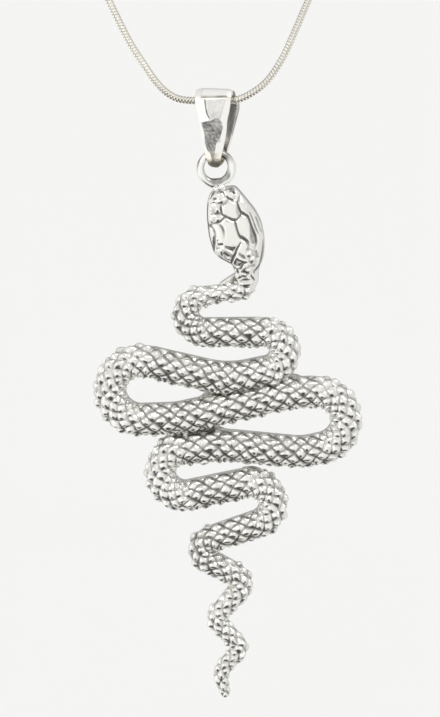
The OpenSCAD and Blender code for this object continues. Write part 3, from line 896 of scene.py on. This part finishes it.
def bail_half_width(z):
    foot_z = bail_foot_low + bail_foot_w / 2
    rise = np.clip((z - foot_z) / (shoulder_z - foot_z), 0, 1)
    half = bail_foot_w / 2 + rise * (bail_top_w - bail_foot_w) / 2
    foot = np.sqrt(np.clip((bail_foot_w / 2) ** 2 - np.clip(foot_z - z, 0, None) ** 2, 0.0036, None))
    return np.where(z < foot_z, foot, half)


def bail_rows():
    """All the way round the strap: outside y z, inside y z, the middle facet's start and end, how
    far the sides slope back, how dark the middle facet is and how dark the whole row is at least."""
    rows = []

    def fold_inside(a):
        return bail_inner_r * math.cos(a), bail_fold_inner_z + bail_inner_r * math.sin(a)

    for y, z, inside in BAIL_FOLD:
        # the crease under the fold is painted dark, a painted shade
        line = 0.6 * float(smoothstep(0.22, 0.06, abs(z - crease_z)))
        rows.append([y, z, *fold_inside(math.radians(inside)), -0.62, 0.82, 0.22, line, 0.5 * line])
    # front leaf, with closer rows where the patch begins
    for z in np.concatenate([np.linspace(9.15, 6.72, 10), np.linspace(6.64, 6.04, 9),
                             np.linspace(5.9, foot_centre_z, 22)]):
        t = (leaf_top_z - z) / (leaf_top_z - foot_centre_z)
        inside_z = (bail_fold_inner_z + 0.4) * (1 - t) + t * inner_foot_centre_z
        facets = [np.interp(z, BAIL_FRONT[::-1, 0], BAIL_FRONT[::-1, k]) for k in (1, 2, 3)]
        worn = float((1 - smoothstep(6.0, 6.6, z)) * smoothstep(2.0, 3.0, z))
        bow = -1.385 - 0.065 * min(1, t * 5) + 0.06 * worn
        middle = 0.58 - 0.2 * float(smoothstep(2.3, 2.8, z))
        rows.append([bow, z, -bail_inner_r, inside_z, *facets, middle, 0.0])
    # round the foot, whose middle facet opens from a point
    for a in math.pi + math.pi * np.arange(1, 14) / 14:
        foot = float(smoothstep(0.2, 0.8, math.cos(a - 1.38 * math.pi)))
        point = 0.13 + 0.5 * float(smoothstep(1.03 * math.pi, 1.16 * math.pi, a))
        rows.append([bail_outer_r * math.cos(a), foot_centre_z + bail_outer_r * math.sin(a),
                     bail_inner_r * math.cos(a), inner_foot_centre_z + bail_inner_r * math.sin(a),
                     -point, point, 0.02 + 0.16 * abs(math.cos(a)) ** 3, 0.6, 0.62 * foot])
    # back leaf and the back of the fold
    for t in np.linspace(0, 1, 27):
        z = foot_centre_z + t * (bail_fold_z - foot_centre_z)
        inside_z = inner_foot_centre_z + t * (bail_fold_inner_z - inner_foot_centre_z)
        rows.append([bail_outer_r, z, bail_inner_r, inside_z, -0.7, 0.7, 0.12, 0.0, 0.0])
    for a in math.pi / 2 * np.arange(1, 10) / 10:
        rows.append([bail_outer_r * math.cos(a), bail_fold_z + bail_outer_r * math.sin(a),
                     *fold_inside(a), -0.68, 0.7, 0.2, 0.0, 0.0])
    return np.array(rows)


def bail_piece():
    """The folded strap: rows of points all the way round it, each with a facetted section."""
    rows = bail_rows()
    outer, inner = rows[:, 0:2], rows[:, 2:4]
    start, end, slope, middle_dark, all_dark = rows[:, 4:].T
    through = (outer - inner) / np.linalg.norm(outer - inner, axis=1)[:, None]
    outer_w, inner_w = bail_half_width(outer[:, 1]), bail_half_width(inner[:, 1])
    z = outer[:, 1]
    front = outer[:, 0] < 0
    # the back leaf is a little wider on the right
    at_back = ~front * smoothstep(1.2, 3.5, z) * (1 - smoothstep(8.2, 9.3, z))
    wider = (0.26 + 0.17 * smoothstep(3, 8, z)) * at_back
    slim = np.interp(z, SLIM_Z, SLIM_BY) * front
    row_number = np.arange(len(z))
    columns, darks = [], []

    def column(share, inset, dark, line=outer, w=outer_w, sign=-1):
        """One point a row: its share of the half width, how far inside the outline, how dark."""
        yz = line + sign * through * (inset + 0 * w)[:, None]
        # the crease under the fold rises to the right
        rise = 0.16 * share * bell(z - crease_z, 0.35) * front
        narrower = slim * share * np.where(share > 0, 1.0, slim_left)
        across = w * share - narrower + wider * (np.mean(share) > 0)
        columns.append(np.stack([across, yz[:, 0], yz[:, 1] + rise], -1))
        darks.append(np.maximum(dark, all_dark) + 0 * w)

    def patch(share):
        """The dull patch on the front leaf, higher and lighter on its right half."""
        top = 6.35 + 0.45 * smoothstep(0.25, 0.42, share) - 0.2 * smoothstep(0.8, 1.0, share)
        mottled = 0.66 + 0.26 * (scatter(row_number, round(share * 20), 9) - 0.5)
        lighter = 1 - 0.22 * smoothstep(0.35, 0.75, share) * smoothstep(4.6, 5.3, z)
        within_it = (1 - smoothstep(top - 0.12, top + 0.12, z)) * smoothstep(2.25, 2.55, z) * front
        return mottled * lighter * within_it

    # the facets' edges lie a little inside the outline, and the bevels further in
    beside, edge_inset, bevel_inset = 0.03, 0.02, slope - 0.01
    left, right = start - beside, end + beside
    facet_inset = edge_inset + slope * beside
    column(-1.0, slope + 0.05, 0.1)
    column(-0.985, slope, 0.0)
    column(-0.94, bevel_inset, 0.0)
    # a painted dark line, a painted shade, follows the upper facet's left edge, and elsewhere the left edge
    # is painted darker than the right one
    upper = front * smoothstep(6.5, 6.8, z) * smoothstep(9.3, 9.0, z)
    near_line = np.maximum(left - 0.07, -0.93)
    on_facet = (near_line + 0.94) / (left + 0.94)
    column(near_line, bevel_inset * (1 - on_facet) + facet_inset * on_facet, 0.06)
    at_foot = (z < 2.4) & front
    column(left, facet_inset, np.where(at_foot, 0.42, 0.36 + 0.62 * upper))
    for share in np.linspace(0, 1, 9):
        at = start + beside + (end - start - 2 * beside) * share
        column(at, -0.004 * math.sin(math.pi * share), np.maximum(middle_dark, patch(share)))
    column(right, facet_inset, np.where(at_foot, 0.42, 0.1))
    column(0.94, bevel_inset, 0.0)
    column(0.985, slope, 0.0)
    # painted shade: the back leaf is painted darker along its edge on the right, and the strap's inside is
    # painted darker too
    edge = np.where(front, 0.1, 0.15 + 0.42 * smoothstep(2.5, 5.0, z))
    column(1.0, slope + 0.05, np.maximum(edge, 0.2))
    for share, inset, dark in [(1.0, 0.03, edge), (0.98, 0.0, np.maximum(edge, 0.15)),
                               (0.88, 0.0, np.maximum(0.85 * edge, 0.22)), (0.0, 0.0, 0.3),
                               (-0.98, 0.0, 0.35), (-1.0, 0.03, 0.4)]:
        column(share, inset, dark, inner, inner_w, 1)
    rings = np.stack(columns, 1)
    # turned and leaned about the place where it holds the ring
    x, y, height = (rings.reshape(-1, 3) - [0, 0, ring_turn_z]).T
    cy, sy = math.cos(-bail_yaw), math.sin(-bail_yaw)
    x, y = x * cy - y * sy, x * sy + y * cy
    cl, sl = math.cos(-bail_lean), math.sin(-bail_lean)
    x, height = x * cl + height * sl, -x * sl + height * cl
    verts = np.stack([x, y, height], -1) + ring_centre + [0, 0, ring_turn_z]
    faces = skin_faces(*rings.shape[:2], closed_along=True)
    # the foot is tinted a warm brown, and the crease a little as part of its painted shade; fold and foot are
    # matt
    height = rings[..., 2]
    at_crease = smoothstep(0.3, 0.1, np.abs(height - crease_z))
    amber = np.maximum(1 - smoothstep(0.5, 3.2, height), 0.4 * at_crease)
    matt = np.maximum(smoothstep(8.9, 9.5, height), 0.9 * smoothstep(1.7, 1.1, height))
    return new_object("bail_strap", verts, faces, {
        "tarnish_and_shade": np.stack(darks, 1).ravel(), "amber": amber.ravel(), "matt": matt.ravel()})


# The chain

# The chain's route: in the bail, how far along the fold and how far sunk under it, and on
# either side x, y and z from there. Behind, the left side mirrors the right one
IN_BAIL = [(-3, 0.3), (-1.2, 0.03), (1.2, 0), (2.8, 0)]
LEFT_ROUTE = [
    (-5.1, 1.4, -0.05), (-7.1, 2.1, 1.4), (-9.25, 3.1, 4.25), (-10.9, 4.2, 6.7), (-13.6, 6.7, 11.7),
    (-17.5, 10.5, 19), (-27, 20, 36), (-40, 32, 59)]
RIGHT_ROUTE = [
    (4.7, -1.1, 1.05), (6.5, -0.8, 2.45), (8.35, 0.2, 5.0), (9.65, 1.6, 7.5), (11.9, 4.8, 12.1),
    (15.8, 9.6, 19.5), (26, 20, 37), (39.5, 32, 60)]
BEHIND = [(50, 44, 81), (56, 56, 99), (58, 68, 110), (54, 82, 118.5), (42, 95, 123.5), (25, 103.5, 125.5)]
socket_depth = 2.0
nape_x = 9.0
link_pitch = 0.41
# the line between two rows of links is turned down by this much at the pendant
front_turn = math.radians(13)
core_share = 0.8
core_every = 4


def chain_line(step):
    """The chain's route as in the CAD, at even steps: points and their directions."""
    along = np.array([math.cos(bail_yaw) * math.cos(bail_lean), -math.sin(bail_yaw),
                      math.cos(bail_yaw) * math.sin(bail_lean)])
    end_x = clasp_length / 2 - socket_depth + fit_gap
    behind = BEHIND + [(nape_x, reach, drop), (end_x, reach, drop)]
    left = LEFT_ROUTE + [(-x, y, z) for x, y, z in behind]
    in_bail = [tuple(s * along - np.array([0, 0, sunk])) for s, sunk in IN_BAIL]
    route = np.array(left[::-1] + in_bail + RIGHT_ROUTE + behind)
    ends = np.pad(route, ((1, 1), (0, 0)), mode="edge")
    tangent = ends[2:] - ends[:-2]
    tangent /= np.linalg.norm(tangent, axis=1)[:, None]
    t = np.linspace(0, 1, 60, endpoint=False)[:, None]
    fine = [hermite(t, np.linalg.norm(route[i + 1] - route[i]), route[i], route[i + 1],
                    tangent[i], tangent[i + 1]) for i in range(len(route) - 1)]
    fine = np.concatenate(fine + [route[-1:]]) + hang
    length = np.concatenate([[0], np.cumsum(np.linalg.norm(np.diff(fine, axis=0), axis=1))])
    count = int(round(length[-1] / step))
    s = np.linspace(0, length[-1], count + 1)
    line = np.stack([np.interp(s, length, fine[:, k]) for k in range(3)], -1)
    direction = np.gradient(line, axis=0)
    return line, direction / np.linalg.norm(direction, axis=1)[:, None]


def sides_along(direction, first_side):
    """A direction across the line at each point, carried along without twisting."""
    side = np.empty_like(direction)
    v = first_side
    for i, d in enumerate(direction):
        v = v - d * (v @ d)
        v = v / np.linalg.norm(v)
        side[i] = v
    return side


def chain_pieces():
    line, direction = chain_line(link_pitch / 2)
    # the line between two rows of links faces forward at the pendant
    middle = len(line) // 2
    front = np.array([0.0, -math.cos(front_turn), -math.sin(front_turn)])
    side_after = sides_along(direction[middle:], front)
    side_before = sides_along(direction[middle::-1], front)
    side = np.concatenate([side_before[::-1][:-1], side_after])
    up = np.cross(direction, side)

    # one small plate: angles round the chain, radii there, places along it and how it bulges
    span = math.radians(37)
    angles = np.linspace(-span, span, 4)
    radii = chain_r * np.array([0.86, 0.985, 0.985, 0.86])
    places = np.array([-0.34, 0.0, 0.34]) * link_pitch
    bulge = np.array([0.93, 1.0, 0.93])
    lean = 0.22 * link_pitch / span
    # the plate's points in rows of four, and the ones along its rim
    plate = [(j + i * 4, j + 1 + i * 4, j + 1 + (i + 1) * 4, j + (i + 1) * 4)
             for i in range(2) for j in range(3)]
    rim = [0, 1, 2, 3, 7, 11, 10, 9, 8, 4]
    skirt = [(rim[k], 12 + k, 12 + (k + 1) % 10, rim[(k + 1) % 10]) for k in range(10)]
    quads = np.array(plate + skirt)
    # turn, turn for the lean, radius and place of each point; the skirt goes down into the core
    rim_share, rim_depth = 0.94, 0.66
    spots = [(angles[j], angles[j], radii[j] * bulge[i], places[i]) for i in range(3) for j in range(4)]
    spots += [(angles[k % 4] * rim_share, angles[k % 4], chain_r * rim_depth, places[k // 4] * rim_share)
              for k in rim]
    verts, faces, count = [], [], 0
    links = np.arange(1, len(line) - 2)
    for row in range(4):
        centre, leaning = math.radians(45 + 90 * row), lean * (-1) ** row
        picks = links[(links % 2) == (row % 2)]
        p, d, a, b = line[picks], direction[picks], side[picks], up[picks]
        verts.append(np.stack([
            p + d * (place + leaning * lean_turn)
            + r * (math.cos(centre + turn) * a + math.sin(centre + turn) * b)
            for turn, lean_turn, r, place in spots], 1).reshape(-1, 3))
        starts = count + len(spots) * np.arange(len(picks))
        faces += (starts[:, None, None] + quads).reshape(-1, 4).tolist()
        count += len(picks) * len(spots)
    verts = np.concatenate(verts)
    worn = RNG.random(len(verts) // len(spots)).repeat(len(spots))
    plates = new_object("chain_links", verts, faces, {"tarnish_and_shade": worn * 0.08}, smooth=False)

    picks = np.unique(np.append(np.arange(0, len(line), core_every), len(line) - 1))
    t = turns(12)[None, :, None]
    rings = line[picks][:, None] + chain_r * core_share * (
        np.cos(t) * side[picks][:, None] + np.sin(t) * up[picks][:, None])
    verts, faces = capped_skin(rings)
    # the core, seen between the plates, is painted dark, a painted shade in the gaps
    return plates, new_object("chain_core", verts, faces, {"tarnish_and_shade": np.full(len(verts), 0.62)})


# The clasp
def clasp_piece():
    half, cap_r, socket_r = clasp_length / 2, chain_r + 0.5, chain_r + fit_gap
    barrel_r = clasp_d / 2
    cap_groove_r, barrel_groove_r = cap_r - 0.06, barrel_r - 0.05
    # from the bottom of a socket, over the cap to the barrel: how far in from the end, and radius
    side = [(socket_depth, socket_r * 0.98), (socket_depth - 0.04, socket_r), (0.12, socket_r),
            (0.0, socket_r + 0.1), (0.0, cap_r - 0.14), (0.05, cap_r - 0.04), (0.16, cap_r),
            (2.1, cap_r), (2.22, cap_groove_r), (2.34, cap_groove_r), (2.46, cap_r),
            (2.95, cap_r + 0.02), (3.02, cap_r + 0.07), (3.02, barrel_r - 0.14),
            (3.06, barrel_groove_r), (3.16, barrel_r)]
    # and the grooves beside the middle: distance from it, and radius
    middle = [(0.7, barrel_r), (0.62, barrel_groove_r), (0.5, barrel_groove_r), (0.42, barrel_r)]
    line = [(half - inwards, r) for inwards, r in side] + middle
    line += [(-x, r) for x, r in line[::-1]]
    x, r = np.array(line).T[..., None]
    t = turns(64)
    rings = np.stack([x + 0 * t, r * np.cos(t), r * np.sin(t)], -1)
    dull = (socket_r * 0.98, socket_r, cap_groove_r, barrel_groove_r)
    dark = np.repeat([0.7 * (radius in dull) for _, radius in line], len(t))
    verts, faces = capped_skin(rings)
    return new_object("clasp_barrel", verts, faces, {"tarnish_and_shade": np.append(dark, [0.8, 0.8])})


# Materials
def node(tree, kind, inputs=None, **settings):
    """A new shader node with its settings. Each input is given a value or a socket to link."""
    made = tree.nodes.new("ShaderNode" + kind)
    for key, value in settings.items():
        setattr(made, key, value)
    for key, value in (inputs or {}).items():
        if isinstance(value, bpy.types.NodeSocket):
            tree.links.new(value, made.inputs[key])
        else:
            made.inputs[key].default_value = value
    return made


def attribute(tree, name):
    return node(tree, "Attribute", attribute_name=name).outputs["Fac"]


def noise(tree, **inputs):
    return node(tree, "TexNoise", inputs).outputs["Fac"]


def ranged(tree, value, limits, **settings):
    """The value brought from one range to another; limits names the ends that aren't 0 or 1."""
    return node(tree, "MapRange", {"Value": value, **limits}, **settings).outputs["Result"]


def mix_colours(tree, factor, first, second, **settings):
    return node(tree, "Mix", {0: factor, 6: first, 7: second}, data_type="RGBA", **settings).outputs[2]


def mix_numbers(tree, factor, first, second):
    return node(tree, "Mix", {0: factor, 2: first, 3: second}).outputs[0]


# near black, for painted shade in the deepest recesses
deep_shade_colour = (0.05, 0.049, 0.045, 1)
amber_colour = (0.97, 0.90, 0.75, 1)
matt_roughness = 0.5
skin_scale = 1900
skin_wave_height = 0.0001
grain_height = 0.00002


def silver(name, clean, dark, roughness, dark_roughness, grain, grain_strength, clouds, wave_strength):
    """Polished silver that is darkened where its tarnish_and_shade is high, as oxide and as painted shade,
    with a fine worn grain.
    """
    mat = bpy.data.materials.new(name)
    mat.use_nodes = True
    tree = mat.node_tree
    shader = tree.nodes["Principled BSDF"]
    shader.inputs["Metallic"].default_value = 1.0
    where = node(tree, "TexCoord").outputs["Object"]
    cloud = noise(tree, Vector=where, Scale=clouds, Detail=4, Roughness=0.6)
    fine = noise(tree, Vector=where, Scale=grain, Detail=6)
    skin = noise(tree, Vector=where, Scale=skin_scale, Detail=3)

    # tarnish and painted shade, broken up a little by the clouds
    uneven = node(tree, "Math", {0: cloud, 1: 0.5, 2: -0.25}, operation="MULTIPLY_ADD").outputs[0]
    amount = node(tree, "Math", {0: attribute(tree, "tarnish_and_shade"), 1: uneven}, operation="ADD").outputs[0]
    oxide_and_shade = ranged(tree, amount, {"From Min": 0.12, "From Max": 0.85}, interpolation_type="SMOOTHSTEP")
    # near black in the deepest places: painted shade
    deep_shade = ranged(tree, amount, {"From Min": 0.95, "From Max": 1.5})

    colour = mix_colours(tree, cloud, (*[c * 0.93 for c in clean], 1), (*clean, 1))
    colour = mix_colours(tree, oxide_and_shade, colour, (*dark, 1))
    colour = mix_colours(tree, deep_shade, colour, deep_shade_colour)
    colour = mix_colours(tree, attribute(tree, "amber"), colour, amber_colour, blend_type="MULTIPLY")

    rough = ranged(tree, fine, {"To Min": roughness * 0.75, "To Max": roughness * 1.35})
    rough = mix_numbers(tree, oxide_and_shade, rough, dark_roughness)
    rough = mix_numbers(tree, attribute(tree, "matt"), rough, matt_roughness)

    waves = node(tree, "Bump", {"Height": skin, "Strength": wave_strength, "Distance": skin_wave_height})
    bump = node(tree, "Bump", {"Height": fine, "Strength": grain_strength, "Distance": grain_height,
                               "Normal": waves.outputs["Normal"]})
    tree.links.new(colour, shader.inputs["Base Color"])
    tree.links.new(rough, shader.inputs["Roughness"])
    tree.links.new(bump.outputs["Normal"], shader.inputs["Normal"])
    return mat


cast_silver = silver("cast_silver", (0.94, 0.93, 0.89), (0.22, 0.216, 0.203),
                     roughness=0.15, dark_roughness=0.42, grain=9000, grain_strength=0.35,
                     clouds=1400, wave_strength=0.55)
bright_silver = silver("bright_silver", (0.985, 0.975, 0.95), (0.15, 0.145, 0.138),
                       roughness=0.11, dark_roughness=0.4, grain=12000, grain_strength=0.22,
                       clouds=900, wave_strength=0.12)
chain_silver = silver("chain_silver", (0.995, 0.97, 0.905), (0.40, 0.36, 0.29),
                      roughness=0.17, dark_roughness=0.5, grain=15000, grain_strength=0.2,
                      clouds=700, wave_strength=0.1)


# The pieces, what each rides on and what it replaces
snake_parts = [
    body_piece(), head_piece(), ring_piece(),
    lump_piece("snake_solder", 26, 36, [0.35, -0.12, -2.42], solder_shape),
    lump_piece("snake_solder_drop", 14, 20, [-0.03, -0.72, -2.58], drop_shape),
    web_piece()]
cast_names = ("snake_body", "snake_head", "snake_web")
for part in snake_parts:
    part.data.materials.append(cast_silver if part.name in cast_names else bright_silver)
    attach(part, "snake_body")
for part in snake_parts:
    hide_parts("snake")

bail = bail_piece()
bail.data.materials.append(bright_silver)
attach(bail, "bail_body")
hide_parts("bail")

chain_parts = chain_pieces()
for part in chain_parts:
    part.data.materials.append(chain_silver)
    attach(part, "necklace")
    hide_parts("chain")

clasp = clasp_piece()
clasp.data.materials.append(bright_silver)
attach(clasp, "necklace")
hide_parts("clasp")


# Stage, light and camera
floor_z = -245.0
floor_half = 6000.0


def floor():
    corners = [(-floor_half, -floor_half), (floor_half, -floor_half),
               (floor_half, floor_half), (-floor_half, floor_half)]
    obj = new_object("floor", [(x, y, floor_z) for x, y in corners], [(0, 1, 2, 3)], smooth=False)
    mat = bpy.data.materials.new("floor_paper")
    mat.use_nodes = True
    tree = mat.node_tree
    shader = tree.nodes["Principled BSDF"]
    shader.inputs["Roughness"].default_value = 0.9
    shader.inputs["Specular IOR Level"].default_value = 0.1
    paper = mix_colours(tree, noise(tree, Scale=3.0), (0.915, 0.913, 0.909, 1), (0.935, 0.933, 0.929, 1))
    tree.links.new(paper, shader.inputs["Base Color"])
    obj.data.materials.append(mat)
    obj.visible_glossy = False


floor()


room_colour = (0.86, 0.86, 0.855, 1)
# direction, angle where the patch is full, angle where it has faded out, its colour
PATCHES = [
    ((-0.05, -0.98, -0.14), 26, 56, (1.02, 1.02, 1.0, 1)),
    ((-0.78, -0.58, -0.22), 14, 32, (1.16, 1.16, 1.14, 1)),
    ((0.0, 1.0, 0.05), 18, 52, (0.42, 0.42, 0.41, 1)),
    ((-0.94, 0.30, 0.0), 24, 44, (1.0, 1.0, 0.985, 1)),
    ((-0.10, -0.50, -0.86), 18, 38, (0.09, 0.09, 0.09, 1)),
]


def world():
    """A pale room, brighter in front and on the left, grey behind and dark low in front."""
    w = bpy.data.worlds.new("studio")
    bpy.context.scene.world = w
    w.use_nodes = True
    tree = w.node_tree
    where = node(tree, "TexCoord").outputs["Generated"]
    colour = room_colour
    for direction, full, faded, patch_colour in PATCHES:
        dot = node(tree, "VectorMath", {0: where, 1: Vector(direction).normalized()}, operation="DOT_PRODUCT")
        limits = {"From Min": math.cos(math.radians(faded)), "From Max": math.cos(math.radians(full))}
        patch = ranged(tree, dot.outputs["Value"], limits, interpolation_type="SMOOTHERSTEP")
        colour = mix_colours(tree, patch, colour, patch_colour)
    background = tree.nodes["Background"]
    background.inputs["Strength"].default_value = 0.95
    tree.links.new(colour, background.inputs["Color"])


world()


def sun(name, direction, power, angle):
    """A soft round light far off, on the side that the direction points to."""
    light = bpy.data.lights.new(name, "SUN")
    light.energy = power
    light.angle = math.radians(angle)
    obj = bpy.data.objects.new(name, light)
    bpy.context.scene.collection.objects.link(obj)
    obj.rotation_euler = Vector(direction).to_track_quat("Z", "Y").to_euler()


sun("key", (0.55, -0.45, 0.75), 0.5, 24)
sun("fill", (-0.6, -0.55, 0.25), 0.25, 30)
sun("glint", (0.15, -0.35, 0.9), 0.2, 9)

sensor_width = 36.0


def camera():
    data = bpy.data.cameras.new("camera")
    data.sensor_width = sensor_width
    data.lens = sensor_width * camera_distance / (frame_height_px / px_per_mm)
    data.clip_start = 0.01
    obj = bpy.data.objects.new("camera", data)
    bpy.context.scene.collection.objects.link(obj)
    place = target + camera_distance * np.array([0, -math.cos(camera_elevation), math.sin(camera_elevation)])
    obj.location = place * MM
    obj.rotation_euler = (math.pi / 2 - camera_elevation, 0, 0)
    bpy.context.scene.camera = obj


camera()
bpy.context.scene.view_settings.view_transform = "Standard"
